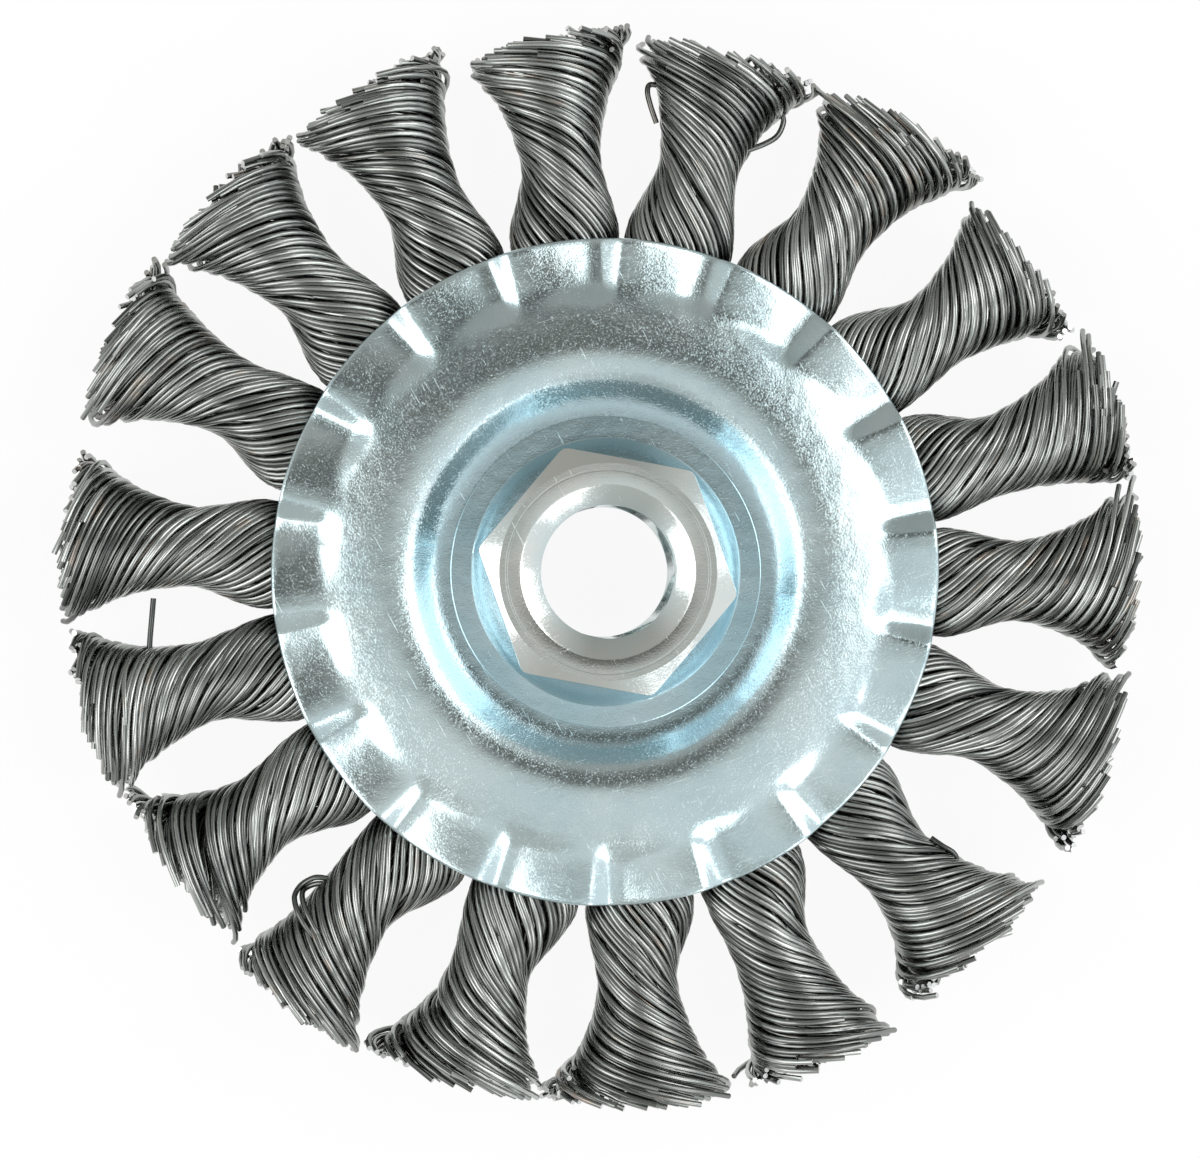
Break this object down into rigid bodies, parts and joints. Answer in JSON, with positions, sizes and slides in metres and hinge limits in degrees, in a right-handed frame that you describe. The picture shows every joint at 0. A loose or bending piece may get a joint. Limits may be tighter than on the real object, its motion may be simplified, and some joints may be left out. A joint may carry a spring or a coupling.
{
  "type": "knotted wire wheel",
  "caption": "Twisted knot wire wheel for an angle grinder: steel wire knots round two pressed plates, clamped by a flanged hex nut with a threaded bore.",
  "frame": {"origin": "on the bore axis, in the plane that the wheel rests on when it lies flat with its nut up", "axes": "+Z along the bore axis, out of the hex nut; +X to the right and +Y up in the picture"},
  "size_m": [0.1002, 0.1004, 0.0223],
  "materials": {
    "zinc_sheet": "bright blue-white zinc plating, fine grain and scratches",
    "zinc_nut": "bright zinc plating on forged steel",
    "plain_steel": "punched and turned, oiled",
    "steel_wire": "hard drawn wire, dark with bright streaks"
  },
  "bodies": {
    "root": {"front_plate": "zinc_sheet", "rear_plate": "zinc_sheet", "threaded_hub": "zinc_nut", "knot_ring": "plain_steel", "centre_bush": "plain_steel", "knot_01": "steel_wire", "knot_02": "steel_wire", "knot_03": "steel_wire", "knot_04": "steel_wire", "knot_05": "steel_wire", "knot_06": "steel_wire", "knot_07": "steel_wire", "knot_08": "steel_wire", "knot_09": "steel_wire", "knot_10": "steel_wire", "knot_11": "steel_wire", "knot_12": "steel_wire", "knot_13": "steel_wire", "knot_14": "steel_wire", "knot_15": "steel_wire", "knot_16": "steel_wire", "knot_17": "steel_wire", "knot_18": "steel_wire"}
  },
  "joints": []
}
